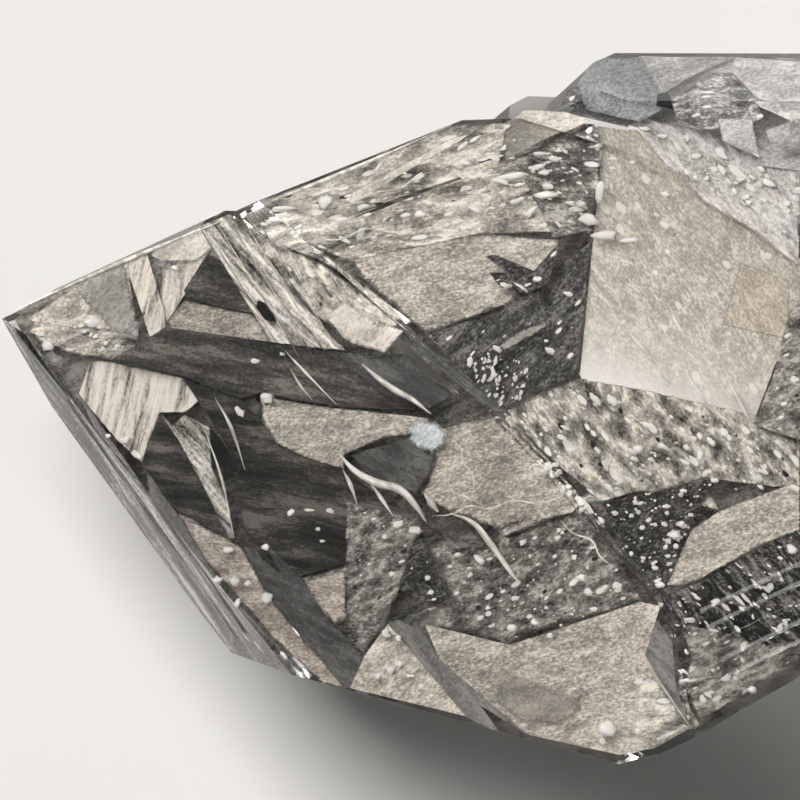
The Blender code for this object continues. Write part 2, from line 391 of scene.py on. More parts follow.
def film_material(name, tones, direction=35.0, ratio=2.4, grain=1300.0, spread=0.14, lit_creases=0.3,
                  grit=0.4, flecks=0.0, fleck_grain=2600.0, fleck_tone=(0.92, 0.90, 0.86),
                  pits=0.0, cover=1.0):
    """tones are the dark, middle and light colours; flecks and pits are how common they are."""
    material, tree, shader = new_material(name)
    flow = warped(tree, stretched(tree, direction, ratio, UPRIGHT))
    cloud = texture(tree, flow, "ShaderNodeTexNoise", Scale=grain, Detail=7.0, Roughness=0.72)
    wide = texture(tree, stretched(tree, direction, WIDE_RATIO, UPRIGHT), "ShaderNodeTexNoise",
                   Scale=WIDE_GRAIN, Detail=3.0)
    # Painted highlights: the ridged noise lightens the crests of the crumpled relief.
    lit_ridges = texture(tree, flow, "ShaderNodeTexNoise", noise_type="RIDGED_MULTIFRACTAL",
                     Scale=grain * CREASE_GRAIN, Detail=4.0, Roughness=0.6, Offset=1.0, Gain=1.0)
    gravel = texture(tree, stretched(tree, direction, GRIT_RATIO, UPRIGHT), "ShaderNodeTexNoise",
                     Scale=GRIT_GRAIN, Detail=2.0, Roughness=0.7)
    level = evened(tree, cloud.outputs["Fac"], CLOUD_NOISE)
    level = mixed(tree, level, evened(tree, wide.outputs["Fac"], WIDE_NOISE), WIDE_SHARE)
    level = mixed(tree, level, evened(tree, lit_ridges.outputs["Fac"], CREASE_NOISE), lit_creases)
    level = mixed(tree, level, evened(tree, gravel.outputs["Fac"], GRIT_NOISE), grit)
    colour = ramp(tree, level, [(0.50 - spread, tones[0]), (0.50, tones[1]),
                                (0.50 + spread, tones[2])])
    for share, tone, finer in ((pits, PIT_TONE, PIT_GRAIN), (flecks, fleck_tone, 1.0)):
        if share:
            cells = texture(tree, flow, "ShaderNodeTexVoronoi", voronoi_dimensions="2D",
                            Scale=fleck_grain * finer)
            size = ramp(tree, cells.outputs["Color"], [(1.0 - share, 0.0), (1.0, 0.5)])
            room = node(tree, "ShaderNodeMath", operation="SUBTRACT")
            tree.links.new(size, room.inputs[0])
            tree.links.new(cells.outputs["Distance"], room.inputs[1])
            shown = ramp(tree, room.outputs["Value"], [(0.0, 0.0), (SPOT_EDGE, 1.0)])
            colour = painted(tree, colour, tone, shown)
    tree.links.new(colour, shader.inputs["Base Color"])
    shader.inputs["Roughness"].default_value = FILM_ROUGHNESS
    shader.inputs["Specular IOR Level"].default_value = FILM_GLOSS
    worn_edge = node(tree, "ShaderNodeAttribute", attribute_name="cover")
    ragged = node(tree, "ShaderNodeMath", operation="MULTIPLY_ADD")
    ragged.inputs[1].default_value = RAGGED
    tree.links.new(level, ragged.inputs[0])
    tree.links.new(worn_edge.outputs["Fac"], ragged.inputs[2])
    clear = node(tree, "ShaderNodeMath", operation="MULTIPLY_ADD", use_clamp=True)
    clear.inputs[1].default_value = 1.0 / EDGE_FADE
    clear.inputs[2].default_value = -(RAGGED * 0.5 + EDGE_START) / EDGE_FADE
    tree.links.new(ragged.outputs["Value"], clear.inputs[0])
    alpha = clear.outputs["Value"]
    if cover < 1.0:
        thin = texture(tree, stretched(tree, direction, THIN_RATIO), "ShaderNodeTexNoise",
                       Scale=grain * THIN_GRAIN, Detail=4.0)
        open_at = 0.50 - THIN_REACH * cover
        alpha = ramp(tree, thin.outputs["Fac"], [(open_at, THIN_ALPHA), (open_at + THIN_EDGE, 1.0)])
    tree.links.new(alpha, shader.inputs["Alpha"])
    return material


def paint_reflected_glow(material, tone, start, end):
    """Paint a reflected glow onto a film, full at its start pixel and none from its end pixel on.
    """
    tree = material.node_tree
    shader = tree.nodes["Principled BSDF"]
    first, last = placed(start, 0.5), placed(end, 0.5)
    way = last - first
    coordinate = tree.nodes.new("ShaderNodeTexCoord")
    shift = node(tree, "ShaderNodeVectorMath", operation="SUBTRACT")
    shift.inputs[1].default_value = first
    tree.links.new(coordinate.outputs["Object"], shift.inputs[0])
    share = node(tree, "ShaderNodeVectorMath", operation="DOT_PRODUCT")
    share.inputs[1].default_value = way / way.length_squared
    tree.links.new(shift.outputs["Vector"], share.inputs[0])
    glow_share = ramp(tree, share.outputs["Value"], [(0.0, 1.0), (0.18, 0.85), (0.45, 0.35),
                                                   (1.0, 0.0)])
    colour = shader.inputs["Base Color"].links[0].from_socket
    tree.links.new(painted(tree, colour, tone, glow_share), shader.inputs["Base Color"])


def grey(value, warmth=0.0):
    """A near neutral colour, a little warmer for a positive warmth."""
    return (value * (1.0 + warmth), value, value * (1.0 - 1.4 * warmth))


deep_veil = film_material("deep_veil", (grey(.10, .03), grey(.26, .05), grey(.50, .05)),
                          direction=40.0, ratio=2.2, grain=1700.0, spread=0.12, lit_creases=0.35,
                          grit=0.35, flecks=0.04, fleck_grain=3000.0, pits=0.05, cover=0.75)
film("deep_left", deep_veil, 3.2, (
    (14, 318), (125, 262), (235, 216), (350, 290), (430, 350), (500, 420), (650, 598), (684, 724),
    (620, 748), (540, 732), (350, 684), (240, 655), (145, 525), (50, 392)), dip=(0.6, 0.5))
film("deep_top", deep_veil, 3.0, (
    (245, 216), (400, 152), (455, 130), (560, 132), (598, 130), (574, 378), (500, 404), (420, 328),
    (340, 268)), dip=(0.5, -0.3))
film("deep_right", deep_veil, 3.0, (
    (508, 412), (580, 390), (800, 445), (800, 650), (700, 715), (672, 600),
    (600, 515)), dip=(0.4, 0.4))

# --- Films under the left face --------------------------------------------------------------
# A long dark wing with a darker body below it, slivers and stripes that run to the low edge,
# all painted shade where the facets show the dim room, and pale streaked fields between them.
# Painted shade: the dark films below, black ones included, are dark sheets set where the facets
# show the dim room.
wing_shade = film_material("wing_shade", (grey(.030, .03), grey(.080, .06), grey(.230, .07)),
                           direction=5.0, ratio=6.0, grain=1500.0, lit_creases=0.2, grit=0.3)
grey_shade = film_material("grey_shade", (grey(.050), grey(.095, .01), grey(.180, .03)),
                           direction=-15.0, ratio=4.0, grain=1500.0, lit_creases=0.15, grit=0.3)
dark_shade = film_material("dark_shade", (grey(.020, .02), grey(.052, .06), grey(.170, .07)), direction=5.0,
                      ratio=6.0, lit_creases=0.1, grit=0.2)
black = film_material("black", (grey(.008), grey(.013), grey(.026)), direction=0.0, ratio=2.0,
                      grain=1500.0, spread=0.12, lit_creases=0.35, grit=0.35)
beige = film_material("beige", (grey(.200, .07), grey(.430, .09), grey(.800, .08)), direction=30.0,
                      lit_creases=0.25, grit=0.45)
specked_shade = film_material("specked_shade", (grey(.010), grey(.042, .03), grey(.200, .05)),
                              ratio=1.6, grain=2600.0, grit=0.45, flecks=0.45, fleck_grain=3400.0)
grey_film = film_material("grey_film", (grey(.11), grey(.19, .03), grey(.31, .04)), direction=-35.0,
                          ratio=4.0, lit_creases=0.2, grit=0.35)
cream_soft = film_material("cream_soft", (grey(.240, .08), grey(.520, .09), grey(.900, .07)),
                           direction=40.0, ratio=2.0, lit_creases=0.2)
tip_tone = film_material("tip_tone", (grey(.20, .04), grey(.33, .05), grey(.52, .06)),
                         direction=60.0, ratio=2.0, lit_creases=0.2)
beige_fleck = film_material("beige_fleck", (grey(.08, .05), grey(.42, .08), grey(.95, .07)),
                            direction=26.0, ratio=3.0, grain=1500.0, lit_creases=0.45, grit=0.25,
                            flecks=0.50, fleck_grain=2400.0, pits=0.24)
fringe = film_material("fringe", (grey(.090, .05), grey(.800, .08), grey(.980, .04)),
                       direction=92.0, ratio=12.0, grain=2300.0, spread=0.16, lit_creases=0.35,
                       grit=0.15)
cream = film_material("cream", (grey(.42, .06), grey(.72, .08), grey(.95, .05)), direction=60.0,
                      grit=0.35)
cream_streak = film_material("cream_streak", (grey(.14, .05), grey(.62, .08), grey(.97, .04)),
                             direction=96.0, ratio=9.0, grain=1900.0, spread=0.15, grit=0.25)
band_streak = film_material("band_streak", (grey(.015, .04), grey(.340, .07), grey(.980, .05)),
                            direction=-32.0, ratio=12.0, grain=2600.0, spread=0.13, grit=0.2)
right_fleck = film_material("right_fleck", (grey(.060, .05), grey(.380, .08), grey(.920, .07)),
                            direction=-38.0, ratio=1.8, grain=1500.0, lit_creases=0.50, grit=0.25,
                            flecks=0.50, fleck_grain=2200.0, pits=0.22)
pink = film_material("pink", ((.25, .21, .18), (.48, .42, .365), (.80, .74, .67)), direction=10.0,
                     lit_creases=0.2, grit=0.45)
rim_streak = film_material("rim_streak", (grey(.008, .02), grey(.190, .04), grey(.980, .02)),
                           direction=-41.0, ratio=22.0, grain=2400.0, spread=0.13, grit=0.15)
mottle = film_material("mottle", (grey(.030, .03), grey(.205, .06), grey(.600, .07)),
                       direction=40.0, ratio=1.8, grain=1600.0, lit_creases=0.5, grit=0.3, flecks=0.40,
                       pits=0.24)
pale_blue = film_material("pale_blue", ((.42, .46, .48), (.62, .66, .68), (.90, .93, .94)),
                          direction=60.0, ratio=1.5, grain=1500.0, lit_creases=0.35, grit=0.35)
bottom_tone = film_material("bottom_tone", (grey(.20, .07), grey(.31, .08), grey(.46, .08)),
                            direction=30.0, lit_creases=0.25, grit=0.45)
film("wing", wing_shade, 1.0, (
    (109, 361), (150, 336), (168, 327), (265, 341), (345, 350), (372, 356), (405, 352), (425, 370),
    (455, 395), (432, 412), (345, 408), (300, 402), (262, 393), (240, 400), (215, 390),
    (182, 377)), dip=(0.3, 0.2), soft=2.4)
film("wing_end", grey_shade, 0.7, (
    (330, 349), (372, 356), (405, 352), (425, 370), (455, 395), (432, 412), (380, 395)), soft=8.0)
film("body", dark_shade, 1.3, (
    (182, 377), (215, 390), (240, 398), (262, 395), (262, 420), (278, 445), (345, 470), (340, 455),
    (360, 480), (385, 500), (420, 520), (410, 545), (345, 565), (300, 577), (262, 560), (245, 530),
    (232, 480), (240, 468), (213, 425), (200, 405)), dip=(0.2, 0.4), soft=2.4)
film("left_quad", dark_shade, 0.9, (
    (160, 413), (172, 425), (178, 440), (205, 490), (228, 538), (205, 525), (182, 515), (150, 480),
    (142, 463), (150, 440)))
film("sliver", black, 0.7, ((210, 428), (222, 440), (240, 468), (212, 468)))
film("corner_triangle", wing_shade, 0.8, (
    (208, 253), (222, 262), (253, 313), (225, 308), (187, 300), (184, 290)))
film("corner_spot", black, 0.25, ((258, 300), (265, 303), (277, 322), (265, 320), (256, 308)))
film("triangle_base", beige, 1.2, ((178, 305), (187, 301), (253, 315), (272, 342), (165, 327)))
film("polygon", grey_shade, 0.8, (
    (350, 455), (405, 437), (420, 435), (425, 450), (435, 458), (430, 475), (418, 495), (400, 488),
    (375, 480)), soft=4.8)
film("kite", specked_shade, 0.8, (
    (420, 525), (428, 560), (440, 575), (452, 598), (440, 608), (415, 600), (397, 590),
    (405, 560)), soft=4.8)
film("low_patch", wing_shade, 0.8, (
    (443, 525), (460, 515), (487, 545), (462, 550), (450, 540)), soft=3.2)
film("mid_patch", dark_shade, 0.8, ((420, 500), (437, 515), (445, 540), (430, 530)), soft=3.2)
film("stripe_left", grey_shade, 1.0, (
    (243, 545), (262, 540), (282, 575), (300, 577), (325, 615), (362, 655), (355, 688), (345, 688),
    (300, 635), (265, 590)))
film("stripe_right", grey_film, 0.9, (
    (388, 622), (400, 620), (425, 635), (440, 660), (480, 705), (530, 737), (500, 733), (462, 715),
    (415, 655)))
film("tip_base", cream_soft, 0.5, (
    (14, 312), (100, 269), (128, 257), (132, 300), (118, 330), (60, 327), (34, 322)), soft=2.0)
film("tip_shade", tip_tone, 0.35, (
    (72, 286), (124, 262), (134, 296), (140, 340), (112, 334), (92, 312)), soft=10.0)
film("tip_mottle", beige_fleck, 0.6, (
    (28, 332), (36, 318), (60, 322), (92, 316), (140, 345), (109, 361), (70, 354),
    (45, 345)), soft=6.0)
film("bright_band", fringe, 0.6, ((124, 260), (146, 250), (168, 325), (150, 337)))
film("edge_strip", cream, 0.8, (
    (146, 252), (200, 226), (212, 248), (196, 262), (160, 262)), soft=4.0)
film("edge_mottle", cream_streak, 1.0, ((146, 254), (212, 248), (186, 292), (178, 305), (165, 325)))
film("step_band", band_streak, 0.6, (
    (200, 226), (230, 214), (262, 250), (300, 300), (345, 350), (272, 342), (253, 313), (222, 262)))
film("over_band", right_fleck, 1.2, (
    (232, 214), (262, 238), (320, 262), (352, 285), (400, 325), (350, 345), (300, 300),
    (262, 250)), soft=6.4)
film("blotch", cream, 0.8, (
    (322, 315), (345, 300), (378, 322), (405, 330), (385, 354), (350, 345)), soft=8.0)
film("left_field", fringe, 1.2, (
    (78, 395), (90, 360), (109, 361), (182, 377), (200, 400), (185, 413), (160, 413), (150, 440),
    (142, 463), (118, 442)), soft=2.4)
film("between_streaks", band_streak, 0.8, (
    (172, 425), (160, 413), (185, 413), (210, 428), (212, 468), (228, 500), (235, 540), (228, 538),
    (205, 490), (178, 440)), soft=2.4)
film("wedge", beige, 1.0, (
    (262, 395), (300, 402), (345, 408), (430, 418), (420, 435), (385, 438), (345, 455), (345, 470),
    (310, 460), (278, 445), (262, 420)), soft=4.0)
film("low_strip", pink, 1.2, (
    (182, 517), (228, 538), (243, 548), (265, 590), (300, 635), (345, 688), (320, 682), (262, 640),
    (215, 585), (190, 545)), soft=4.8)
film("rim_grey", grey_film, 0.6, (
    (30, 338), (75, 388), (145, 468), (185, 523), (225, 590), (262, 640), (310, 678), (262, 668),
    (232, 630), (190, 560), (145, 495), (95, 430), (55, 380)), soft=4.8)
film("rim_streaks", rim_streak, 0.5, (
    (8, 322), (30, 338), (95, 430), (145, 495), (190, 560), (232, 630), (262, 668), (234, 660),
    (140, 540), (48, 402)))
film("centre_grey", mottle, 1.6, (
    (345, 500), (425, 520), (400, 590), (388, 622), (362, 655), (325, 615), (300, 577),
    (345, 565)), dip=(0.2, 0.2), soft=8.0)
film("pink_patch", pink, 1.0, (
    (303, 580), (345, 570), (347, 617), (335, 625), (315, 602)), soft=8.0)
film("low_triangle", cream_soft, 0.9, ((350, 688), (365, 655), (388, 624), (400, 638), (465, 716)))
film("bottom_face", beige, 1.1, (
    (425, 625), (440, 628), (510, 645), (570, 625), (640, 602), (660, 606), (650, 640), (655, 665),
    (692, 727), (655, 748), (620, 755), (530, 735), (480, 705), (440, 660)))
film("corner_wedge", grey_film, 0.5, (
    (657, 620), (672, 640), (676, 690), (696, 728), (690, 730), (660, 680), (645, 655)))
film("centre_beige", beige, 1.3, (
    (425, 430), (490, 415), (505, 425), (585, 500), (500, 530), (455, 515), (420, 495),
    (435, 458)), soft=8.0)
film("low_grey", mottle, 1.5, (
    (500, 532), (588, 502), (640, 590), (645, 602), (570, 625), (510, 645), (440, 628), (425, 625),
    (400, 620), (440, 608), (452, 598), (428, 545), (445, 540),
    (487, 545)), dip=(0.3, 0.2), soft=12.8)
film("pale_spot", pale_blue, 0.5, (
    (408, 426), (420, 418), (436, 420), (448, 432), (446, 446), (432, 454), (416, 450),
    (408, 440)), soft=9.0)
film("bottom_shade", bottom_tone, 0.9, (
    (505, 668), (560, 690), (585, 705), (560, 728), (520, 724), (492, 700)), soft=12.0)
film("bottom_streaks", beige_fleck, 0.6, (
    (640, 668), (662, 684), (690, 727), (655, 746), (632, 735)), soft=9.6)

# --- Films under the upper faces ------------------------------------------------------------
# Flecked pale fields along the back edge, a dark sparkling one of painted shade beside the glossy
# face, and that face's own pale film, with a painted reflection of the lamp towards its low edge.
sparkle = film_material("sparkle", (grey(.014), grey(.070, .03), grey(.260, .03)), direction=60.0,
                        ratio=3.0, grain=2300.0, flecks=0.32, fleck_grain=3400.0)
corner_fleck = film_material("corner_fleck", (grey(.030, .03), grey(.160, .05), grey(.620, .06)),
                             direction=10.0, grain=1700.0, spread=0.15, lit_creases=0.45, grit=0.3,
                             flecks=0.45, fleck_grain=2400.0)
pane = film_material("pane", (grey(.32, .08), grey(.50, .08), grey(.80, .08)), direction=-40.0,
                     ratio=1.8, grain=1700.0, lit_creases=0.45, grit=0.45, flecks=0.40,
                     fleck_grain=1700.0, fleck_tone=(0.86, 0.82, 0.76))
# Painted reflection: the pane is painted whitest at its low edge, where the glossy face mirrors the
# lamp.
paint_reflected_glow(pane, tone=(0.98, 0.95, 0.91), start=(640, 404), end=(665, 300))
pane_light = film_material("pane_light", (grey(.33, .12), grey(.50, .12), grey(.72, .11)),
                           direction=-40.0, ratio=1.8, grain=1700.0, grit=0.45)
frost = film_material("frost", ((.26, .24, .23), (.68, .64, .62), (.98, .95, .95)), direction=-32.0,
                      ratio=3.0, grain=1500.0, lit_creases=0.5, grit=0.3, flecks=0.42,
                      fleck_grain=2200.0)
film("upper_field", beige_fleck, 1.5, (
    (245, 213), (330, 178), (400, 147), (455, 124), (508, 122), (560, 140), (500, 162), (530, 192),
    (560, 232), (480, 235), (350, 262), (320, 262), (262, 238)), soft=4.8)
film("smooth_field", beige, 1.6, (
    (352, 285), (320, 262), (350, 258), (480, 232), (560, 240), (545, 300), (500, 308),
    (426, 334)), soft=8.0)
# Painted shade: a dark sheet set where the facets show the dim room.
film("dark_field", sparkle, 1.2, (
    (426, 335), (500, 309), (545, 300), (560, 240), (592, 228), (578, 380), (540, 398),
    (499, 411)), soft=8.0)
film("flecked_corner", corner_fleck, 1.2, (
    (536, 146), (592, 118), (604, 122), (598, 200), (592, 232), (552, 238), (530, 192),
    (512, 160)), soft=6.0)
film("back_step_film", bottom_tone, 0.6, (
    (506, 122), (526, 107), (566, 109), (592, 118), (540, 142), (505, 160)), soft=2.0)
film("corner_base", mottle, 2.2, ((556, 112), (606, 116), (604, 150), (540, 150)))
film("glossy_pane", pane, 1.6, (
    (606, 120), (640, 125), (670, 160), (700, 195), (760, 225), (800, 258), (800, 300), (752, 426),
    (580, 382)))
film("pane_rectangle", pane_light, 1.5, ((740, 262), (790, 280), (788, 340), (722, 325)), soft=4.8)
film("contact_frost", frost, 0.5, (
    (628, 108), (660, 120), (700, 126), (760, 144), (800, 168), (800, 268), (760, 236), (700, 200),
    (665, 165), (645, 140)), soft=6.4)
film("edge_gap", dark_shade, 0.5, (
    (345, 217), (380, 206), (420, 190), (460, 177), (462, 179), (422, 193), (382, 209),
    (348, 220)), soft=0.5)
film("dark_arch", specked_shade, 0.5, (
    (484, 256), (496, 254), (506, 272), (522, 278), (542, 274), (548, 286), (520, 294), (500, 288),
    (488, 272)), soft=3.2)
film("light_streak", bottom_tone, 0.5, (
    (498, 346), (520, 330), (545, 322), (548, 327), (525, 340), (505, 351)), soft=4.8)
film("pale_ledge", cream, 0.6, (
    (352, 192), (452, 138), (470, 134), (452, 146), (400, 176), (350, 206)), soft=2.0)

# --- Films under the right face -------------------------------------------------------------
# A flecked pale field, a speckled dark wedge, a bright band and a dark hatched field; the wedge
# and the hatched field are painted shade where the facets show the dim room.
hatch = film_material("hatch", (grey(.008), grey(.040, .04), grey(.34, .05)), direction=-32.0,
                      ratio=4.0, grain=2900.0, lit_creases=0.35, grit=0.3, flecks=0.38,
                      fleck_grain=3400.0)
film("right_field", right_fleck, 1.4, (
    (502, 410), (578, 378), (640, 388), (752, 414), (800, 424), (800, 490), (720, 510), (700, 478),
    (640, 492), (600, 502), (545, 468)), soft=3.2)
film("speckled", specked_shade, 1.0, (
    (600, 502), (640, 492), (700, 476), (716, 480), (695, 520), (680, 560), (666, 590), (645, 588),
    (615, 555)), soft=6.4)
film("bright_wedge", beige, 1.1, (
    (666, 585), (690, 530), (720, 510), (800, 480), (800, 520), (760, 545), (700, 578),
    (680, 588)), soft=3.2)
film("hatched", hatch, 1.0, (
    (664, 596), (700, 582), (760, 548), (800, 525), (800, 640), (770, 645), (690, 652), (668, 622)))
film("band_light", beige, 0.7, (
    (668, 583), (690, 564), (745, 540), (800, 508), (800, 530), (760, 546), (700, 580),
    (680, 588)), soft=4.0)
film("pane_right", mottle, 0.8, ((754, 424), (772, 380), (792, 300), (800, 300), (800, 440)))
film("low_swirl", mottle, 1.0, (
    (668, 622), (690, 652), (770, 645), (800, 640), (800, 660), (700, 722), (676, 690)), soft=6.4)

# --- Films under the small crystal ----------------------------------------------------------
# Its own inner faces, as painted light and shade: blue-grey at the end, pale and dark panels
# behind.
blue = film_material("blue_grey", ((.13, .138, .15), (.22, .228, .242), (.35, .36, .375)),
                     ratio=1.5, grain=2600.0, lit_creases=0.1, grit=0.6)
small_mid = film_material("small_mid", (grey(.20, .01), grey(.38, .02), grey(.66, .02)),
                          direction=30.0)
small_flecked = film_material("small_flecked", (grey(.040), grey(.240, .02), grey(.800, .02)),
                              direction=20.0, grain=1700.0, lit_creases=0.45, grit=0.3, flecks=0.40)
small_grey = film_material("small_grey", (grey(.36, .01), grey(.60, .02), grey(.92, .02)),
                           direction=30.0)
film("small_blue", blue, 0.6, (
    (577, 85), (597, 60), (642, 57), (668, 100), (640, 122), (605, 114), (588, 110)), small=True)
film("small_corner", specked_shade, 0.6, (
    (568, 90), (578, 86), (590, 111), (570, 106), (560, 106)), small=True)
film("small_pale", small_mid, 0.6, ((642, 57), (735, 57), (690, 77), (662, 94)), small=True)
film("small_gap", black, 0.15, ((658, 94), (668, 92), (673, 109), (656, 106)), small=True)
film("small_dark", small_flecked, 0.6, (
    (672, 104), (690, 87), (712, 72), (732, 72), (757, 98), (765, 118), (740, 128), (700, 130),
    (675, 118)), small=True, soft=3.2)
film("small_right", small_grey, 0.8, (
    (735, 57), (800, 62), (800, 125), (757, 98), (732, 72)), small=True)
film("small_back", small_grey, 1.4, (
    (570, 100), (640, 56), (800, 62), (800, 170), (700, 160), (640, 128), (560, 112)), small=True)
film("small_quad", small_grey, 0.5, (
    (717, 118), (752, 118), (760, 158), (722, 142)), small=True, soft=3.2)
film("small_shade", small_mid, 0.6, (
    (765, 130), (800, 118), (800, 150), (772, 152)), small=True, soft=3.2)

# --- Films along the ridge ------------------------------------------------------------------
# A narrow grey film of painted shade follows the ridge between the two large faces, and a
# pale one crosses it.
film("ridge_band", grey_shade, 0.35, (
    (398, 322), (410, 326), (470, 380), (510, 411), (494, 414), (452, 382)), soft=4.8)
film("pale_band", beige, 0.9, (
    (497, 530), (540, 510), (590, 492), (600, 500), (545, 522), (502, 540)), soft=8.0)

# --- Bubbles and flecks ---------------------------------------------------------------------
# White frosted bubbles, oval and lined up, each one sealed in the quartz. The larger ones are
# set one by one, and the finer flecks are scattered over a field.
BUBBLE_DEPTH = 0.5
BUBBLE_FLATNESS = 0.45
BUBBLE_UNEVEN = 0.75
BUBBLE_WAVE = 1.6
FLECK_SMALLNESS = 2.2
FLECK_SCATTER = 18.0

frosted, tree, shader = new_material("frosted_bubble")
shader.inputs["Base Color"].default_value = (0.93, 0.91, 0.88, 1.0)
shader.inputs["Roughness"].default_value = 0.35
grain = texture(tree, stretched(tree, direction=30.0, ratio=1.0), "ShaderNodeTexNoise",
                Scale=5000.0, Detail=3.0)
dimple = node(tree, "ShaderNodeBump", Strength=0.5, Distance=0.00003)
tree.links.new(grain.outputs["Fac"], dimple.inputs["Height"])
tree.links.new(dimple.outputs["Normal"], shader.inputs["Normal"])


def bubble(bm, pixel, length, width, angle, depth):
    """Add an uneven oval bubble, its length and width in pixels and its angle in the frame."""
    place = (Matrix.Translation(placed(pixel, depth))
             @ Matrix.Rotation(VIEW_TURN + math.radians(angle), 4, "Z")
             @ Matrix.Diagonal((length * PIXEL / 2, width * PIXEL / 2,
                                width * PIXEL / 2 * BUBBLE_FLATNESS, 1.0)))
    made = bmesh.ops.create_icosphere(bm, subdivisions=2, radius=1.0)["verts"]
    for vert in made:
        wave = noise.noise(vert.co * BUBBLE_WAVE + Vector((*pixel, depth)))
        vert.co *= 1.0 + BUBBLE_UNEVEN * wave
    bmesh.ops.transform(bm, matrix=place, verts=made)


def add_bubbles(bm, name):
    """Put the finished bubbles in the scene as one piece."""
    bmesh.ops.recalc_face_normals(bm, faces=bm.faces[:])
    for face in bm.faces:
        face.smooth = True
    add_mesh(bm, name, frosted)


def bubble_group(name, rows, depth=BUBBLE_DEPTH):
    """Bubbles given one by one as (x, y, length, width, angle)."""
    bm = bmesh.new()
    for x, y, length, width, angle in rows:
        bubble(bm, (x, y), length, width, angle, depth)
    add_bubbles(bm, name)


def inside(pixel, outline):
    """Whether a pixel lies in an outline."""
    x, y = pixel
    hit = False
    for (x0, y0), (x1, y1) in zip(outline, outline[1:] + outline[:1]):
        if (y0 > y) != (y1 > y) and x < x0 + (x1 - x0) * (y - y0) / (y1 - y0):
            hit = not hit
    return hit


def bubble_cloud(name, outline, count, sizes, stretch, angle, depths, seed):
    """Seeded bubbles scattered in an outline, mostly along one angle."""
    dice = random.Random(seed)
    xs = [x for x, y in outline]
    ys = [y for x, y in outline]
    bm = bmesh.new()
    made = 0
    while made < count:
        pixel = (dice.uniform(min(xs), max(xs)), dice.uniform(min(ys), max(ys)))
        if inside(pixel, outline):
            width = sizes[0] + (sizes[1] - sizes[0]) * dice.random() ** FLECK_SMALLNESS
            bubble(bm, pixel, width * dice.uniform(1.0, stretch), width,
                   angle + dice.gauss(0.0, FLECK_SCATTER), dice.uniform(*depths))
            made += 1
    add_bubbles(bm, name)


bubble_group("left_bubbles", (
    (48, 346, 13, 10, 0), (93, 322, 16, 12, 20), (40, 334, 10, 6, 0), (267, 398, 15, 10, -5),
    (240, 412, 13, 8, -50), (291, 513, 8, 6, 20), (309, 510, 9, 3, 0), (330, 511, 8, 5, -10),
    (318, 529, 5, 4, 0), (322, 541, 6, 3, 0), (228, 550, 11, 7, 0), (217, 580, 11, 8, 0),
    (235, 581, 13, 9, -15), (248, 583, 9, 5, 20), (267, 598, 13, 12, 0), (238, 603, 9, 5, 70),
    (266, 547, 8, 6, 0), (108, 436, 6, 5, 0), (125, 440, 12, 8, 20), (137, 455, 12, 8, -40),
    (255, 361, 9, 5, 0), (282, 354, 5, 4, 0), (175, 268, 8, 5, 0), (246, 637, 12, 5, -50),
    (258, 646, 14, 5, -50), (284, 656, 12, 5, -50)))
bubble_group("centre_bubbles", (
    (415, 531, 15, 8, 0), (398, 524, 12, 8, 15), (386, 634, 10, 9, -40), (378, 676, 8, 8, 0),
    (391, 670, 9, 8, 30), (399, 664, 8, 7, 0), (398, 638, 6, 6, 0), (607, 729, 18, 17, 0),
    (602, 741, 6, 6, 0), (410, 676, 9, 4, 0), (428, 578, 6, 5, 0), (512, 628, 9, 9, 0),
    (535, 622, 9, 7, -20), (550, 636, 6, 6, 0), (582, 578, 9, 7, -20), (588, 592, 9, 8, 0),
    (593, 609, 7, 4, 0), (617, 586, 9, 8, 0), (639, 682, 9, 7, 0), (480, 560, 12, 7, -40)))
bubble_group("right_bubbles", (
    (595, 399, 14, 7, -45), (612, 400, 12, 8, -50), (588, 506, 19, 4, -56), (638, 449, 10, 8, 60),
    (675, 535, 14, 10, 0), (668, 541, 7, 6, 0), (681, 524, 9, 6, 10), (660, 585, 9, 7, 10),
    (700, 455, 10, 9, 0), (708, 472, 8, 5, 0), (714, 480, 9, 5, 0), (676, 546, 6, 5, 0),
    (655, 568, 6, 5, 0), (643, 558, 5, 4, 0), (668, 556, 5, 4, 0), (795, 488, 11, 6, -20),
    (793, 550, 10, 7, -20), (770, 588, 9, 7, 60), (785, 622, 9, 5, -60), (780, 627, 8, 5, 60),
    (715, 602, 10, 6, 30), (690, 620, 12, 5, 0), (752, 690, 10, 6, 10), (703, 700, 10, 7, -70),
    (546, 341, 4, 3, 0), (572, 450, 10, 6, 10), (555, 465, 8, 5, 0)), depth=0.4)
bubble_group("upper_bubbles", (
    (325, 203, 16, 13, 30), (330, 228, 16, 5, -35), (345, 240, 14, 5, -30), (512, 176, 30, 6, 12),
    (420, 214, 11, 8, 0), (545, 195, 26, 7, 5), (588, 219, 22, 11, -5), (605, 235, 26, 10, 5),
    (600, 192, 22, 8, 82), (580, 204, 12, 6, 5), (470, 362, 11, 6, 80), (498, 349, 10, 6, -35),
    (550, 351, 11, 6, -35), (537, 279, 9, 6, 10), (505, 286, 14, 7, 0), (522, 288, 16, 4, -40),
    (489, 361, 5, 5, 0), (568, 294, 9, 5, -20), (280, 216, 24, 5, 8), (285, 208, 22, 4, 4)))
bubble_group("pane_bubbles", (
    (613, 159, 9, 5, 5), (632, 162, 5, 4, 0), (665, 194, 11, 6, -10), (665, 225, 13, 7, -25),
    (668, 251, 5, 5, 0), (655, 273, 8, 6, 0), (626, 262, 14, 3, -8), (617, 270, 12, 3, 70),
    (630, 240, 18, 5, 10), (627, 266, 5, 4, 0), (612, 168, 6, 3, 0),
    (657, 215, 8, 4, -30)), depth=0.6)
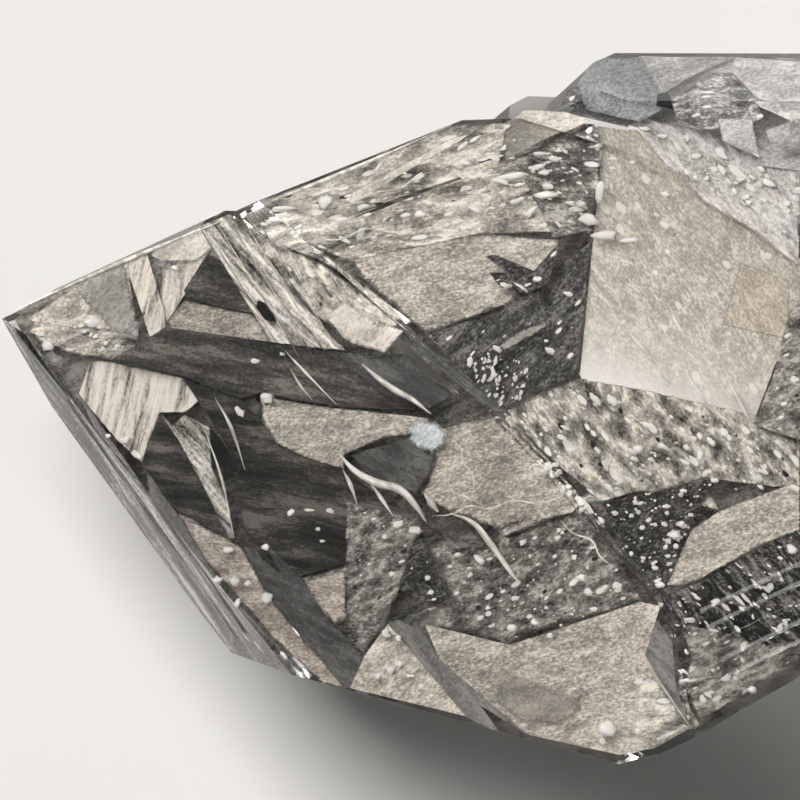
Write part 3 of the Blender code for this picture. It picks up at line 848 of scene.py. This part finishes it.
bubble_group("frost_bubbles", (
    (720, 152, 19, 9, -50), (768, 182, 16, 8, -35), (747, 195, 9, 6, 20), (787, 203, 9, 7, 0),
    (797, 211, 10, 7, -20), (798, 190, 9, 8, 20), (645, 128, 14, 4, -10), (696, 155, 12, 6, 0),
    (768, 257, 9, 9, 0)), depth=0.35)
bubble_cloud("upper_flecks", [
    (262, 222), (400, 155), (455, 130), (508, 126), (560, 145), (530, 190), (555, 225), (480, 232),
    (380, 245), (320, 250)],
    count=90, sizes=(2.0, 6.0), stretch=3.4, angle=22.0, depths=(0.3, 0.9), seed=3)
bubble_cloud("corner_flecks", [(520, 170), (590, 125), (602, 130), (592, 225), (560, 230)],
             count=40, sizes=(2.0, 6.0), stretch=2.6, angle=-5.0, depths=(0.3, 0.8), seed=5)
bubble_cloud("sparkle_flecks", [(468, 365), (500, 345), (530, 372), (520, 400), (495, 405)],
             count=60, sizes=(1.5, 4.0), stretch=2.8, angle=62.0, depths=(0.3, 0.7), seed=7)
bubble_cloud("right_flecks", [
    (505, 412), (578, 390), (740, 432), (790, 440), (790, 480), (715, 500), (690, 476), (600, 496),
    (540, 462)], count=90, sizes=(2.0, 6.0), stretch=2.2, angle=-35.0, depths=(0.3, 0.9), seed=11)
bubble_cloud("speckled_flecks", [
    (603, 505), (640, 494), (700, 480), (712, 484), (693, 520), (678, 560), (664, 588), (645, 586)],
    count=60, sizes=(1.5, 5.0), stretch=1.4, angle=0.0, depths=(0.3, 0.7), seed=13)
bubble_cloud("hatch_flecks", [
    (670, 600), (760, 552), (796, 530), (796, 640), (700, 715), (672, 660)],
    count=60, sizes=(1.5, 4.0), stretch=3.4, angle=-32.0, depths=(0.3, 0.7), seed=17)
bubble_cloud("low_flecks", [(440, 600), (500, 545), (590, 520), (635, 590), (560, 630), (510, 640)],
             count=40, sizes=(1.5, 5.0), stretch=1.8, angle=30.0, depths=(0.3, 0.9), seed=19)
bubble_cloud("frost_flecks", [
    (650, 125), (700, 140), (760, 165), (798, 200), (798, 250), (740, 215), (690, 180)],
    count=60, sizes=(2.0, 6.0), stretch=2.4, angle=-35.0, depths=(0.2, 0.5), seed=23)
bubble_cloud("tip_flecks", [(30, 325), (95, 318), (130, 340), (109, 358), (60, 350)],
             count=26, sizes=(1.5, 5.0), stretch=1.8, angle=10.0, depths=(0.3, 0.7), seed=29)
bubble_cloud("ridge_flecks", [(540, 462), (548, 462), (604, 520), (596, 522)],
             count=26, sizes=(2.0, 5.0), stretch=1.8, angle=-50.0, depths=(0.3, 0.6), seed=31)

# --- Healed cracks and painted glints -------------------------------------------------------
# Bright curved threads, thick in the middle and drawn out to nothing at the ends: healed cracks,
# and painted highlights where the upper edges and the steps on the left face glint. Each is its
# greatest width and the pixels of the frame it runs through.
THREAD_DEPTH = 0.45
THREAD_TAPER = 0.7
THREAD_END = 0.15

thread, tree, shader = new_material("healed_crack_and_glint")
shader.inputs["Base Color"].default_value = (0.86, 0.83, 0.77, 1.0)
shader.inputs["Roughness"].default_value = 0.4
silk = texture(tree, stretched(tree, direction=-40.0, ratio=4.0), "ShaderNodeTexNoise",
               Scale=3000.0, Detail=4.0)
tone = ramp(tree, silk.outputs["Fac"], [(0.38, (0.55, 0.52, 0.47)), (0.60, (0.95, 0.93, 0.88))])
tree.links.new(tone, shader.inputs["Base Color"])


def draw_thread(name, width, points):
    """A tapered thread through pixels of the frame."""
    data = bpy.data.curves.new(name, "CURVE")
    data.dimensions = "3D"
    data.bevel_depth = width * PIXEL / 2
    data.bevel_resolution = 2
    data.resolution_u = 8
    spline = data.splines.new("BEZIER")
    spline.bezier_points.add(len(points) - 1)
    for index, pixel in enumerate(points):
        point = spline.bezier_points[index]
        point.co = placed(pixel, THREAD_DEPTH)
        point.handle_left_type = point.handle_right_type = "AUTO"
        share = index / (len(points) - 1)
        point.radius = max(THREAD_END, math.sin(math.pi * share) ** THREAD_TAPER)
    data.materials.append(thread)
    made = bpy.data.objects.new(name, data)
    bpy.context.scene.collection.objects.link(made)
    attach(made, "root")


THREADS = {
    # Painted highlights: both edge threads on the upper edge; long, short and low threads on step
    # edges.
    "edge_thread_1": (5, ((12, 312), (120, 263), (226, 219))),
    "edge_thread_2": (5, ((248, 214), (330, 178), (452, 125))),
    "crest_thread": (7, ((362, 364), (378, 378), (395, 390), (413, 400), (431, 414))),
    "long_thread": (9, ((340, 455), (354, 470), (375, 482), (400, 490), (415, 505), (426, 522))),
    "side_thread_1": (5, ((343, 470), (350, 484), (357, 504))),
    "side_thread_2": (5, ((370, 483), (381, 498), (393, 516))),
    "short_thread": (9, ((424, 494), (431, 502), (438, 512))),
    "low_thread": (7, ((450, 513), (473, 523), (490, 543), (508, 568), (520, 584))),
    "pane_thread_1": (6, ((622, 329), (642, 346), (660, 366))),
    "pane_thread_2": (5, ((660, 362), (664, 380), (680, 393))),
    "pane_thread_3": (4, ((670, 306), (675, 320), (685, 336))),
    "pane_thread_4": (3, ((684, 370), (698, 392), (715, 412), (735, 425))),
    "pane_thread_5": (7, ((726, 376), (739, 401), (753, 424))),
    "pane_thread_6": (3, ((706, 382), (718, 397), (738, 421))),
    "pane_thread_7": (5, ((632, 284), (648, 292), (662, 302))),
    "wing_thread_1": (3, ((285, 350), (305, 372), (337, 405))),
    "wing_thread_2": (3, ((290, 368), (300, 385), (312, 400))),
    "field_thread": (4, ((215, 398), (230, 425), (245, 470))),
    "quad_thread": (3, ((205, 430), (222, 480), (234, 538))),
    "centre_thread_1": (2, ((436, 470), (446, 478), (452, 491), (466, 497), (484, 506))),
    "centre_thread_2": (2, ((432, 516), (452, 514), (470, 506), (488, 509), (512, 501), (540, 503),
                            (566, 494))),
    "centre_thread_3": (2, ((452, 440), (461, 449), (463, 462), (472, 474), (474, 492))),
    "low_thread_2": (2, ((560, 520), (573, 533), (592, 541), (600, 556), (612, 566))),
    "field_thread_2": (2, ((290, 250), (318, 240), (341, 239), (366, 229), (395, 232), (420, 228))),
    "field_thread_3": (2, ((330, 208), (352, 203), (372, 193), (400, 188), (418, 176), (440, 170))),
    "face_thread": (3, ((640, 655), (665, 690), (690, 727))),
}
for name, (width, points) in THREADS.items():
    draw_thread(name, width, points)

# --- Studio floor ---------------------------------------------------------------------------
# A plain pale sheet just below the face that the crystal rests on.
FLOOR_SIZE = 3.0
FLOOR_DROP = 0.1 * MM

floor_paint, tree, shader = new_material("pale_floor")
shader.inputs["Base Color"].default_value = (0.42, 0.415, 0.405, 1.0)
shader.inputs["Roughness"].default_value = 0.7
floor_bm = bmesh.new()
bmesh.ops.create_grid(floor_bm, x_segments=1, y_segments=1, size=FLOOR_SIZE / 2,
                      matrix=Matrix.Translation((0, 0, cad_low.z - FLOOR_DROP)))
floor_mesh = bpy.data.meshes.new("studio_floor")
floor_bm.to_mesh(floor_mesh)
floor_bm.free()
floor_mesh.materials.append(floor_paint)
floor = bpy.data.objects.new("studio_floor", floor_mesh)
bpy.context.scene.collection.objects.link(floor)
